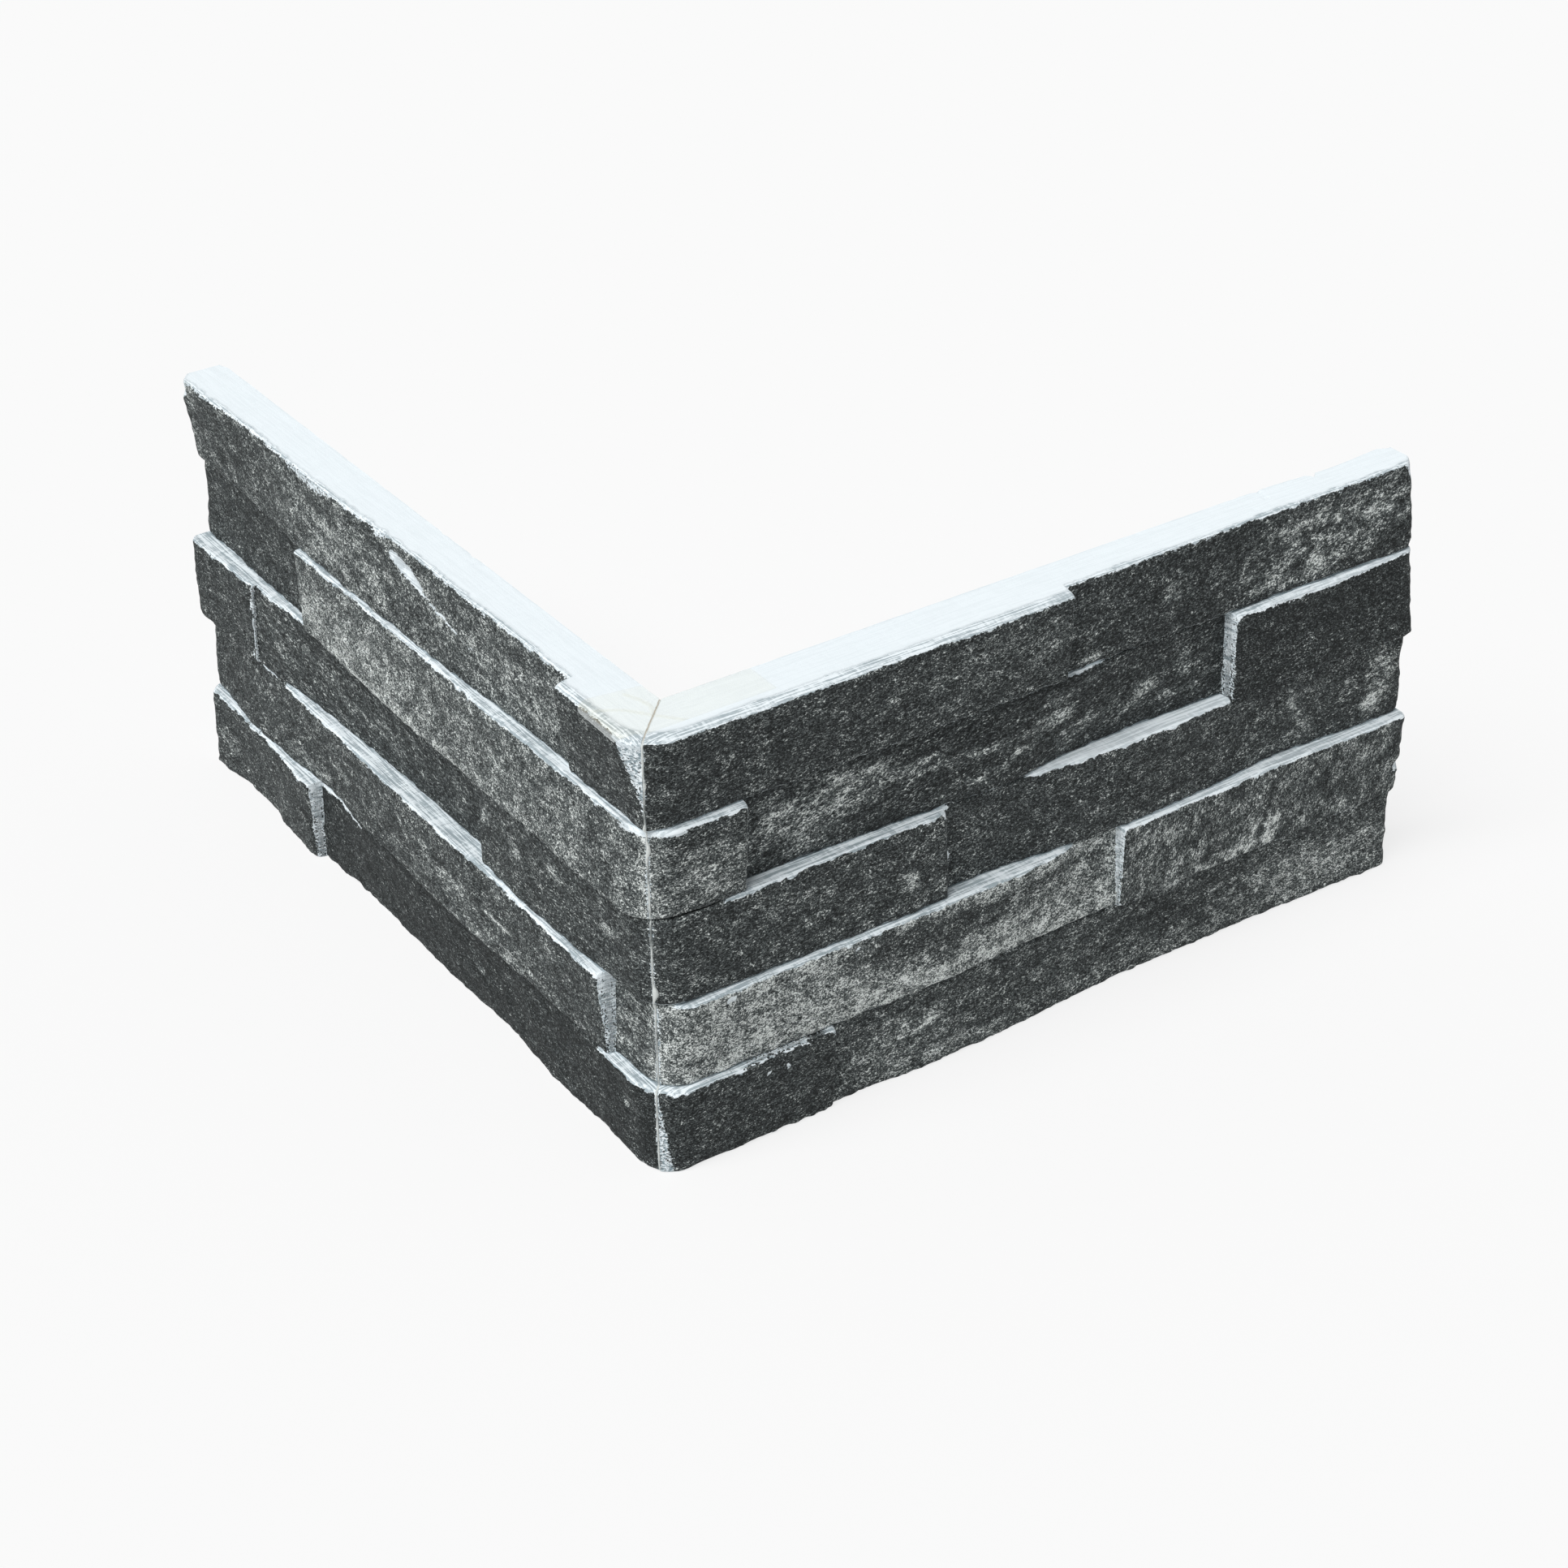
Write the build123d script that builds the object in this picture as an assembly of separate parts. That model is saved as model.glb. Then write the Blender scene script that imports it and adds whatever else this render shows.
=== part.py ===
from build123d import *
import os
from math import cos, radians, sin, sqrt
from typing import NamedTuple

# Facade corner: two moulded stacked-stone panels, mitred, glued and taped into an outside corner.
# Millimetres, +Z up. The origin is the foot of the inner arris, on the wall's own corner.
# The right panel runs along +X with its wall face on y = 0, the left one along +Y on x = 0.

# Driving dimensions
right_leg = 330.0
left_leg = 330.0
row_height = 36.0
bed_thickness = 14.0
arris = 1.8
end_arris = 0.6
shoulder_reach = 4.5
shoulder_drop = 2.2
nose_run = 11.0
shortest_stone = 12.0

# Mitre joint and tape
glue_thickness = 0.8
tape_thickness = 0.2
tape_right_reach = 36.0
tape_front_reach = 16.0
tape_back_reach = 12.0
tape_fold = 4.0

# An arc of 45 degrees rises 0.62 of its height over the first 0.35 of its run.
NOSE_PART = 0.35
NOSE_RISE = 0.62

# Turns of a rounded arris at which it is drawn, from the stone's face to its top
ARRIS_TURNS = (0, 30, 60, 90)


class Stone(NamedTuple):
    """One stone of a row: where it starts along its panel, and how far its face stands out of the bed.

    upper and lower hold (distance along the panel, relief) for the top and the bottom of the face.
    A corner stone has no start: its face curves back to the seam of the mitre.
    """

    start: float | None
    upper: list
    lower: list


class Row(NamedTuple):
    """One course of both panels, with the relief of the seam where they meet."""

    seam: float
    right: list
    left: list


# The courses, from the top one down
COURSES = [
    Row(
        seam=6.0,
        right=[
            Stone(None, [(0, 10.5)], [(0, 7.8)]),
            Stone(159, [(200, 3.5), (250, 3.2), (320, 2.5)], [(240, 4), (320, 5)]),
        ],
        left=[
            Stone(None, [(0, 10.5)], [(0, 6)]),
            Stone(30, [(40, 4), (140, 4.2), (215, 6), (260, 5), (320, 6.5)],
                  [(60, 4.2), (120, 6), (180, 6.8), (228, 6.8), (265, 3.6), (320, 2.8)]),
        ],
    ),
    Row(
        seam=5.0,
        right=[
            Stone(None, [(0, 10.5)], [(0, 8.8)]),
            Stone(19, [(30, 2), (110, 3), (160, 6), (205, 2), (235, 1)],
                  [(30, 2.8), (100, 4.3), (130, 6.3), (165, 2), (200, 0.8), (235, 1.3)]),
            Stone(239, [(270, 7.5), (325, 6)], [(270, 8.3), (325, 10)]),
        ],
        left=[
            Stone(None, [(0, 8.5), (70, 9.3), (136, 8.4), (220, 9)],
                  [(0, 10.6), (60, 10.2), (140, 10), (220, 8.1)]),
            Stone(231, [(245, 1), (320, 0)], [(250, 2.1), (320, 1.3)]),
        ],
    ),
    Row(
        seam=4.5,
        right=[
            Stone(None, [(0, 10), (60, 8.5), (100, 8.7)], [(0, 10), (100, 10.4)]),
            Stone(105, [(115, 4.2), (150, 6.7), (200, 9.2), (250, 6.5), (320, 6)],
                  [(115, 5), (190, 9.2), (230, 7.4), (270, 4.2), (310, 6.4)]),
        ],
        left=[
            Stone(None, [(0, 7.5), (60, 8.5), (90, 7.2)], [(0, 7.6), (55, 9.4), (90, 8)]),
            Stone(95, [(110, 1.7), (165, 1.8), (235, 4.8), (270, 6.5)],
                  [(110, 2.3), (165, 2.4), (240, 5.3), (270, 7.6)]),
            Stone(277, [(290, 8.5), (320, 9.8)], [(290, 9), (320, 9.2)]),
        ],
    ),
    Row(
        seam=3.0,
        right=[
            Stone(None, [(0, 12.5), (120, 12.8), (150, 11), (180, 6.2)], [(0, 9), (110, 10.2), (180, 7.8)]),
            Stone(186, [(200, 11.5), (265, 10.4), (320, 11.3)], [(200, 10.3), (320, 9.5)]),
        ],
        left=[
            Stone(None, [(0, 3)], [(0, 4.5)]),
            Stone(9, [(20, 11.4), (85, 10), (130, 11), (200, 9), (265, 7.3), (325, 4)],
                  [(20, 8.3), (120, 10), (165, 9), (225, 6.2), (285, 8.3), (325, 5.3)]),
        ],
    ),
    Row(
        seam=5.5,
        right=[
            Stone(None, [(0, 12)], [(0, 10.3)]),
            Stone(54, [(65, 7.5), (100, 9), (180, 6.8), (320, 7.5)],
                  [(65, 8.6), (100, 10.4), (140, 9), (190, 6.2), (260, 6.5), (320, 8)]),
        ],
        left=[
            Stone(None, [(0, 8.8), (60, 6.5), (185, 7.6), (225, 5.5)],
                  [(0, 7.6), (45, 7.5), (85, 5.6), (135, 6.3), (200, 5.3), (225, 6.3)]),
            Stone(234, [(242, 12), (275, 9.4), (320, 8.8)],
                  [(242, 10.6), (262, 9.8), (280, 7.1), (300, 7.3), (320, 9.3)]),
        ],
    ),
]

panel_height = row_height * len(COURSES)


def nose(seam_depth, face_depth):
    """Points of a corner stone's curve from the seam out to its face, as (along, depth).

    The last point holds the face straight for one more run beyond the curve.
    """
    rise = face_depth - seam_depth
    return [
        (-seam_depth, seam_depth),
        (-seam_depth + NOSE_PART * nose_run, seam_depth + NOSE_RISE * rise),
        (-seam_depth + nose_run, face_depth),
        (-seam_depth + 2 * nose_run, face_depth),
    ]


def front_points(stone, stations, seam, end, grow):
    """(along, depth) points of one edge of a stone's face, from its start to its end."""
    depths = [(along, bed_thickness + relief + grow) for along, relief in stations]
    if stone.start is None:
        points = [point for point in nose(bed_thickness + seam + grow, depths[0][1]) if point[0] < end]
    else:
        points = [(stone.start, depths[0][1])]
    points += [point for point in depths if points[-1][0] < point[0] < end]
    return points + [(end, points[-1][1])]


def tangents(points):
    """Directions of a curve that stays between its points: level at each crest and hollow."""
    slopes = [(b[1] - a[1]) / (b[0] - a[0]) for a, b in zip(points, points[1:])]
    inner = [2 * a * b / (a + b) if a * b > 0 else 0 for a, b in zip(slopes, slopes[1:])]
    return [(1, -slope) for slope in (slopes[0], *inner, slopes[-1])]


def section(points, start_bevel, end_bevel):
    """The plan section of a stone: its face as a curve, closed along its ends and the wall.

    A free end's arris is cut back by its bevel along the face and into the end.
    """
    first, last = points[0], points[-1]
    line = [(first[0] + start_bevel, first[1]), *points[1:-1], (last[0] - end_bevel, last[1])]
    face = Spline(*[(along, -depth) for along, depth in line], tangents=tangents(line))
    back = [face @ 1, (last[0], 0), (max(first[0], 0), 0), face @ 0]
    if end_bevel:
        back.insert(1, (last[0], end_bevel - last[1]))
    if start_bevel:
        back.insert(-1, (first[0], start_bevel - first[1]))
    return make_face(face + Polyline(*back))


def rounded(reach, drop):
    """(set back, height from the edge) along a rounded arris, from the face to the edge."""
    turns = [radians(turn) for turn in ARRIS_TURNS]
    return [(reach * (1 - cos(turn)), drop * (1 - sin(turn))) for turn in turns]


def levels(number, place, grow):
    """(height, set back) of a stone's sections in its course, for the foot and for the head, both going up.

    The corner stones of the top course have a wider shoulder.
    """
    floor = panel_height - (number + 1) * row_height
    ceiling = floor + row_height + grow
    shoulder = (shoulder_reach, shoulder_drop) if number == 0 and place == 0 else (arris, arris)
    foot = [(floor + rise, inset) for inset, rise in rounded(arris, arris)]
    head = [(ceiling - drop, inset) for inset, drop in rounded(*shoulder)]
    return foot[::-1], head


def stone_solid(number, place, stone, end, bevels, grow):
    """A stone lofted from its foot to its top, with the arrises of its face rounded."""
    sections = []
    for heights, stations in zip(levels(number, place, grow), (stone.lower, stone.upper)):
        for height, inset in heights:
            points = front_points(stone, stations, COURSES[number].seam, end, grow - inset)
            sections.append(Pos(0, 0, height) * section(points, *bevels))
    return loft(sections, ruled=True)


def course(number, side, leg):
    """The stones of one course of a panel that fit on its leg, each with the place where it ends."""
    stones = [stone for stone in getattr(COURSES[number], side) if (stone.start or 0) < leg - shortest_stone]
    ends = [stone.start for stone in stones[1:]] + [leg]
    return list(zip(stones, ends))


def course_solids(number, side, leg, grow=0.0):
    """The solids of one course, from the corner out: an end that stands proud of its neighbour is bevelled."""
    solids = []
    stones = course(number, side, leg)
    for place, (stone, end) in enumerate(stones):
        start_bevel = arris if place and stone.upper[0][1] > stones[place - 1][0].upper[-1][1] else 0
        end_bevel = end_arris
        if end < leg:
            end_bevel = arris if stone.upper[-1][1] > stones[place + 1][0].upper[0][1] else 0
        solids.append(stone_solid(number, place, stone, end, (start_bevel, end_bevel), grow))
    return solids


def panel(side, leg):
    """One panel along +X, with its wall face on y = 0, up to the plane of the mitre."""
    return Part() + [solid for number in range(len(COURSES)) for solid in course_solids(number, side, leg)]


def glue_slab():
    """The room that the panels leave for the glue, on both sides of the mitre plane."""
    length = 2 * (right_leg + left_leg)
    return MITRE * Pos(0, panel_height / 2, 0) * Box(length, panel_height, glue_thickness)


def glue():
    """The glue in the mitre, from the inner arris out to just inside the seam of each course."""
    points = [(0, 0)]
    for number, row in reversed(list(enumerate(COURSES))):
        foot, head = levels(number, 0, 0.0)
        for height, inset in foot + head:
            points.append((glue_thickness / 2 - sqrt(2) * (bed_thickness + row.seam - inset), height))
    outline = make_face(Polyline(*points, (0, panel_height), close=True))
    return extrude(MITRE * outline, glue_thickness / 2, both=True)


def film(side, leg, strip):
    """The tape on the corner stone of one panel's top course, within the strip."""
    grown, stone = (course_solids(0, side, leg, grow)[0] for grow in (tape_thickness, 0.0))
    return (grown & strip) - (stone & strip)


def tape():
    """A film over both corner stones: it crosses the mitre on top and folds down over the left face."""
    strip = Pos(tape_right_reach, -tape_front_reach, panel_height - tape_fold) * Box(
        right_leg + tape_right_reach,
        tape_front_reach + tape_back_reach,
        tape_fold + tape_thickness,
        align=(Align.MAX, Align.MIN, Align.MIN),
    )
    left_film = film("left", left_leg, strip.mirror(MITRE)).mirror(MITRE)
    return film("right", right_leg, strip) + left_film


MITRE = Plane(origin=(0, 0, 0), x_dir=(1, 1, 0), z_dir=(1, -1, 0))
slab = glue_slab()

NODES = {
    "right_panel": panel("right", right_leg) - slab,
    "left_panel": panel("left", left_leg).mirror(MITRE) - slab,
    "mitre_adhesive": glue(),
    "corner_tape": tape(),
}

os.makedirs("parts", exist_ok=True)
for name, shape in NODES.items():
    export_step(shape, f"parts/{name}.step")
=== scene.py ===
from math import radians
from typing import NamedTuple

import bpy
import numpy as np
from mathutils import Matrix


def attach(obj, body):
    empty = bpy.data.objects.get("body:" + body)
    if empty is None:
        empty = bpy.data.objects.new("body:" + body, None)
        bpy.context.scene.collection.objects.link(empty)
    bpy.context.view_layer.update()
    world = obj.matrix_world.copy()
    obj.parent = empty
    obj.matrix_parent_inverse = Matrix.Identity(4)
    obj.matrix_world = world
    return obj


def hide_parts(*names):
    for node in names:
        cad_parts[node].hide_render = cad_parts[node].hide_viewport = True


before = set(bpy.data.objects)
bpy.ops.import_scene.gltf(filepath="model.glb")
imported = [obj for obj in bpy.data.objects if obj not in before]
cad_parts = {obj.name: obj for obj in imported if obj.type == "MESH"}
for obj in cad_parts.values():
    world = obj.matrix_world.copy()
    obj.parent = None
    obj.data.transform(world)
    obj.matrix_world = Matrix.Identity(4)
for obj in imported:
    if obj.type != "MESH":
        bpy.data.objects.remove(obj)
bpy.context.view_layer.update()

bl_info = {
    "name": "Stacked stone facade corner",
    "version": (1, 0, 0),
    "blender": (4, 5, 0),
    "location": "3D View > Sidebar > Facade corner",
    "description": "Builds a mitred corner of stacked split-face facade panels round its packed frame",
    "category": "Add Mesh",
}

# The frame is in metres, and the shapes below are worked out in millimetres.
MM = 0.001

# Turns of a rounded arris at which rows are drawn: 0 is the face, 90 the edge.
FOOT_TURNS = np.radians((90.0, 66.0, 44.0, 22.0, 0.0))
HEAD_TURNS = np.radians((0.0, 15.0, 30.0, 45.0, 60.0, 75.0, 90.0))

# Rows up a face, and as shares the rows across a ledge or the foot, across the top and down the wall face
FACE_ROWS = 26
LEDGE_SHARES = np.array((0.25, 0.5, 0.75))
TOP_SHARES = np.linspace(0, 1, 17)[1:-1]
BACK_LEVELS = np.array((1.0, 0.985, 0.96, 0.9, 0.7, 0.45, 0.2, 0.0))

# Columns along a panel: their spacing, and where they crowd round the end of a stone
SPACING = 1.2
WALL = 0.36
STEP_COLUMNS = np.array((-2.8, -1.7, -1.0, -0.6, -WALL, -0.12, 0.12, WALL, 0.6, 1.0, 1.7, 2.8))
END_COLUMNS = np.array((-3.0, -2.3, -1.6, -1.0, -0.5, -0.15, 0.0))
CORNER = 5.0
CORNER_SHARES = np.array((0, 0.012, 0.03, 0.06, 0.1, *np.linspace(0.14, 1, 19)))

# A corner stone's face rises from the seam as one minus a falling power of the way along its nose.
NOSE_POWER = 2.25

# Room that the plain columns leave to those at the free end and round a step
END_ROOM = 3.6
STEP_ROOM = 3.4

# Rounding of a stone's upright edges: its length at the free end and at a step, and its depth.
# A stone that stands this much further out than its neighbour has all of it.
END_BEVEL = 3.0
STEP_BEVEL = 1.9
BEVEL_DEPTH = 1.8
FULL_STEP = 3.0

# Kinds of rows: those of a course have its number, and those of a ledge have LEDGE plus the number of the
# course above it.
LEDGE = 10
TOP = 20
BACK = 30
FOOT = 40

# Run from the seam on which what looks sideways is still the face of a corner stone
NOSE_FACE = 9.0

# Depth of a chip of strength one, and the height above which the print of the top course is rubbed off
CHIP_DEPTH = 0.8
RUBBED_HEIGHT = 178.0


class Stone(NamedTuple):
    """One stone of a course, as in the part: its start, and (along, relief) at the top and foot of its face.

    grain holds how its print runs: the turn in degrees, and how far it is drawn out along and across.
    coarse is how strongly its pale crystals gather in clumps.
    marks is how strongly the mould marked its ledge.
    """

    start: float
    upper: tuple
    lower: tuple
    pale: float = 0.1
    grain: tuple = (4.0, 1.6, 0.9)
    coarse: float = 0.8
    marks: float = 0.8


class Course(NamedTuple):
    """One course of both panels: the relief of the seam, the bare rim beside it, and the stones.

    A rim is its width in millimetres at the foot and at the head.
    """

    seam: float
    right_rim: tuple
    left_rim: tuple
    right: tuple
    left: tuple


# The courses from the top one down, with the relief of the part's own stones
COURSES = (
    Course(
        6.0, (0.2, 0.3), (-2.0, 11.0),
        (
            Stone(None, ((0, 10.5),), ((0, 7.8),), 0.10),
            Stone(159, ((200, 3.5), (250, 3.2), (320, 2.5)), ((240, 4), (320, 5)), 0.05, (16, 1.7, 0.9), 2.4),
        ),
        (
            Stone(None, ((0, 10.5),), ((0, 6),), 0.10),
            Stone(30, ((40, 4), (140, 4.2), (215, 6), (260, 5), (320, 6.5)),
                  ((60, 4.2), (120, 6), (180, 6.8), (228, 6.8), (265, 3.6), (320, 2.8)),
                  0.28, (8, 1.4, 1.0), 1.1),
        ),
    ),
    Course(
        5.0, (0.3, 0.5), (0.5, 0.4),
        (
            Stone(None, ((0, 10.5),), ((0, 8.8),), 0.30),
            Stone(19, ((30, 2), (110, 3), (160, 6), (205, 2), (235, 1)),
                  ((30, 2.8), (100, 4.3), (130, 6.3), (165, 2), (200, 0.8), (235, 1.3)),
                  0.04, (12, 1.9, 0.9), 1.6),
            Stone(239, ((270, 7.5), (325, 6)), ((270, 8.3), (325, 10)), -0.04),
        ),
        (
            Stone(None, ((0, 8.5), (70, 9.3), (136, 8.4), (220, 9)),
                  ((0, 10.6), (60, 10.2), (140, 10), (220, 8.1)), 0.38, (4, 1.3, 1.0), 0.6),
            Stone(231, ((245, 1), (320, 0)), ((250, 2.1), (320, 1.3)), 0.06),
        ),
    ),
    Course(
        4.5, (0.3, 0.3), (0.3, 0.3),
        (
            Stone(None, ((0, 10), (60, 8.5), (100, 8.7)), ((0, 10), (100, 10.4)), 0.14),
            Stone(105, ((115, 4.2), (150, 6.7), (200, 9.2), (250, 6.5), (320, 6)),
                  ((115, 5), (190, 9.2), (230, 7.4), (270, 4.2), (310, 6.4)), 0.11, marks=0.42),
        ),
        (
            Stone(None, ((0, 7.5), (60, 8.5), (90, 7.2)), ((0, 7.6), (55, 9.4), (90, 8)), 0.12),
            Stone(95, ((110, 1.7), (165, 1.8), (235, 4.8), (270, 6.5)),
                  ((110, 2.3), (165, 2.4), (240, 5.3), (270, 7.6)), 0.10, (10, 2.2, 0.9)),
            Stone(277, ((290, 8.5), (320, 9.8)), ((290, 9), (320, 9.2)), 0.08),
        ),
    ),
    Course(
        3.0, (0.4, 0.8), (0.5, 0.6),
        (
            Stone(None, ((0, 12.5), (120, 12.8), (150, 11), (180, 6.2)),
                  ((0, 9), (110, 10.2), (180, 7.8)), 0.57, (6, 1.4, 1.0)),
            Stone(186, ((200, 11.5), (265, 10.4), (320, 11.3)), ((200, 10.3), (320, 9.5)),
                  0.26, (65, 1.4, 0.9), 2.0, 0.62),
        ),
        (
            Stone(None, ((0, 3),), ((0, 4.5),), 0.30),
            Stone(9, ((20, 11.4), (85, 10), (130, 11), (200, 9), (265, 7.3), (325, 4)),
                  ((20, 8.3), (120, 10), (165, 9), (225, 6.2), (285, 8.3), (325, 5.3)),
                  0.16, (-6, 1.6, 1.0), 1.4),
        ),
    ),
    Course(
        5.5, (4.0, 0.3), (0.2, 0.5),
        (
            Stone(None, ((0, 12),), ((0, 10.3),), 0.06),
            Stone(54, ((65, 7.5), (100, 9), (180, 6.8), (320, 7.5)),
                  ((65, 8.6), (100, 10.4), (140, 9), (190, 6.2), (260, 6.5), (320, 8)), 0.19, coarse=0.9),
        ),
        (
            Stone(None, ((0, 8.8), (60, 6.5), (185, 7.6), (225, 5.5)),
                  ((0, 7.6), (45, 7.5), (85, 5.6), (135, 6.3), (200, 5.3), (225, 6.3)), -0.08),
            Stone(234, ((242, 12), (275, 9.4), (320, 8.8)),
                  ((242, 10.6), (262, 9.8), (280, 7.1), (300, 7.3), (320, 9.3)), 0.10),
        ),
    ),
)

# Patches of a panel's print that are paler or darker than their stone:
# (along, height, half length, half height, turn in degrees, gain)
PATCHES = {
    "right": (
        (130, 165, 55, 14, 0, 0.10), (285, 165, 42, 15, 5, 0.33), (268, 152, 28, 6, 0, 0.26),
        (320, 168, 16, 12, 0, 0.20), (210, 161, 4, 7, 0, 0.30), (2, 121, 26, 11, 0, 0.14),
        (5, 139, 24, 5, 0, -0.20), (48, 128, 28, 13, 0, 0.42), (78, 130, 18, 8, -8, 0.28),
        (45, 114, 25, 5, 0, 0.15), (98, 131, 12, 1.4, 2, 0.45), (105, 126, 14, 1.5, -4, 0.4),
        (128, 125, 16, 1.8, 6, 0.45), (139, 119, 12, 2.2, 18, 0.5), (153, 128, 14, 2.6, 8, 0.5),
        (163, 137, 14, 2.4, 12, 0.42), (120, 115, 8, 1.5, 10, 0.4), (200, 123, 7, 4, 0, 0.35),
        (221, 128, 4, 6, 0, 0.35), (212, 118, 26, 2.0, 2, 0.30), (170, 118, 20, 5, 15, 0.22),
        (175, 146, 14, 0.8, 0, 0.5), (87, 85, 4, 6, 15, 0.45), (30, 98, 24, 6, 0, 0.08),
        (276, 90, 3.0, 11, 30, 0.40), (272, 101, 3, 5, 20, 0.25), (316, 92, 9, 12, 0, 0.28),
        (312, 81, 5, 5, 0, 0.45), (272, 79, 16, 1.6, 8, 0.25), (97, 61, 44, 8, -6, -0.42),
        (150, 64, 40, 4, 0, -0.28), (95, 50, 26, 4, -10, -0.25), (90, 41, 110, 5, 0, 0.14),
        (15, 50, 30, 8, 0, 0.06), (165, 52, 24, 7, 0, -0.13), (256, 45, 13, 7, 0, 0.40),
        (240, 38, 16, 4, 0, 0.36), (202, 58, 10, 9, 0, 0.16), (215, 35, 5, 4, -45, 0.4),
        (300, 52, 26, 9, 0, -0.06), (85, 17, 26, 11, 0, 0.20), (105, 5, 34, 5, 0, 0.20),
        (140, 27, 30, 6, 0, -0.06), (215, 22, 28, 9, 0, -0.12), (285, 14, 44, 13, 0, 0.30),
        (200, 6, 60, 5, 0, 0.12), (95, 19, 12, 1.0, 8, 0.45),
    ),
    "left": (
        (70, 158, 36, 12, 0, 0.16), (112, 166, 26, 6, 12, 0.10), (196, 158, 34, 12, 0, 0.16),
        (290, 163, 44, 16, 0, -0.16), (235, 170, 20, 5, 0, 0.04), (187, 121, 50, 14, 0, 0.14),
        (150, 110, 90, 3, 0, 0.22), (5, 124, 14, 16, 0, -0.14), (110, 134, 60, 5, 0, -0.06),
        (218, 118, 14, 9, 0, 0.16), (290, 112, 30, 5, 0, 0.05), (67, 93, 4, 2.2, -12, 0.7),
        (40, 98, 5, 3, 0, 0.3), (90, 94, 5, 4, -20, 0.3), (5, 92, 4, 2, 0, 0.4),
        (205, 88, 50, 3, 12, 0.16), (178, 88, 8, 3, 10, 0.30), (253, 86, 12, 2.0, 14, 0.35),
        (140, 92, 40, 2, 6, 0.12), (258, 94, 18, 4, 8, 0.18), (100, 47, 45, 9, 0, 0.16),
        (84, 53, 12, 1.3, 6, 0.8), (62, 44, 8, 1.2, 10, 0.5), (128, 56, 16, 3, 8, 0.22),
        (155, 57, 7, 2.0, 48, 0.6), (85, 39, 26, 3, 0, 0.24), (210, 52, 5, 4, 0, 0.3),
        (240, 42, 28, 3.5, 6, 0.22), (306, 52, 22, 14, 0, -0.12), (105, 18, 6, 2, 12, 0.35),
        (118, 20, 7, 1.2, 10, 0.25), (40, 6, 7, 3, 0, 0.25), (312, 15, 9, 3, 0, 0.30),
        (-2, 22, 2.5, 1.2, 40, 0.8),
    ),
}

# Places where the print is broken off and the body shows, as patches with the strength of the chip
CHIPS = {
    "right": (
        (159, 172, 1.2, 7, 0, 0.3), (8, 68, 2.0, 1.2, 0, 0.9), (62, 68, 1.5, 0.8, 0, 0.8),
        (108, 86, 1.0, 3, 0, 0.4), (25, 28.5, 1.2, 1.4, 0, 0.4), (33, 28.5, 1.2, 1.6, 0, 0.4),
        (331, 50, 5.0, 3.0, 30, 1.6), (331, 178, 4.0, 5.0, 30, 1.5), (105, 107, 3.0, 2.0, 0, 0.6),
        (290, 143.4, 40, 1.5, 0, 0.5), (-13, 142.8, 9, 1.4, 0, 0.45),
    ),
    "left": (
        (144, 171.8, 13, 2.9, 13, 0.9), (118, 164.6, 20, 0.9, 13, 0.4), (95, 159.6, 6, 0.7, 6, 0.2),
        (278.5, 99, 1.2, 4.5, 0, 0.3), (279, 76, 1.2, 3.5, 0, 0.3), (269, 71.4, 9, 0.9, 0, 0.5),
        (8, 71, 3.0, 2.0, 0, 0.8), (228, 34.9, 8, 1.4, 0, 0.5), (209, 34.3, 16, 0.8, 2, 0.42),
        (330, 177, 5.0, 5.0, -30, 1.5), (-13, 142.8, 9, 1.4, 0, 0.45),
    ),
}

# Arrises that kept their print, as patches with the share of print. The first patch of each panel, at 107 mm
# beside the seam, puts the dark shadow line of the joint on the head arris as print: painted shade.
INKED_AND_SHADED_EDGES = {
    "right": (
        (-4, 107, 15, 5, 0, 1.2), (48, 34, 6, 3, 0, 0.7), (28, 35.6, 24, 1.4, 0, 0.47),
        (174, 142.4, 14, 1.1, 0, 0.9),
    ),
    "left": (
        (-6, 107, 14, 4, 0, 1.2), (2, 178.6, 12, 1.0, 0, 1.0),
    ),
}

# Places along the top edge where it is worn further down: (along, half length, extra drop)
WORN_EDGES = {
    "right": ((120, 25, 0.5), (328, 6, 2.0)),
    "left": ((219, 30, 3.0), (163, 9, 2.4), (300, 30, 0.6), (330, 5, 2.4)),
}

# Back edge of the top: (along, half length, how far it is broken away)
BROKEN_BACK = {
    "right": ((298, 30, 1.6), (289.5, 2.2, 2.6), (263, 2.5, 0.9), (329, 5, 2.0)),
    "left": ((147, 3, 0.6), (125, 3, 0.6), (330, 6, 1.6)),
}

# Pits of the top: (along, depth from the wall, radius)
PITS = {
    "right": ((263, 6, 1.2), (264, 1.5, 0.9), (253, 11, 0.9)),
    "left": ((215, 17, 1.2), (99, 16, 1.1)),
}

# Blobs of glue beside the seam: (height, half height, swelling, side), on the right where the side is 1
GLUE_BLOBS = (
    (163, 2.5, 0.7, 1), (146, 2.0, 0.5, -1), (137, 4.0, 1.0, 1), (132, 2.5, 0.4, -1), (100, 2.2, 0.5, -1),
    (97, 2.2, 0.4, 1), (77.5, 4.5, 1.5, 1), (71, 2.0, 0.7, -1), (34, 2.0, 0.4, -1), (21, 5.0, 0.3, -1),
)

# Stretches where the glue lies deep in the seam: (height, half height, how deep). There the bead is narrower,
# and its colour is darkened as painted shade.
GLUE_SUNK_AND_SHADED = ((153, 9, 0.7), (126, 8, 0.45), (101, 8, 0.8), (86, 5, 0.3), (54, 10, 0.5))

# Creases of the tape on top, as points of the plan
TAPE_CREASES = (
    ((-25, 8), (-20, 5), (-14, 1), (-8, -7), (-3, -13), (0, -17)),
    ((-8, 9), (-6, 4), (-5, -2), (-7, -7)),
)

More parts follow.
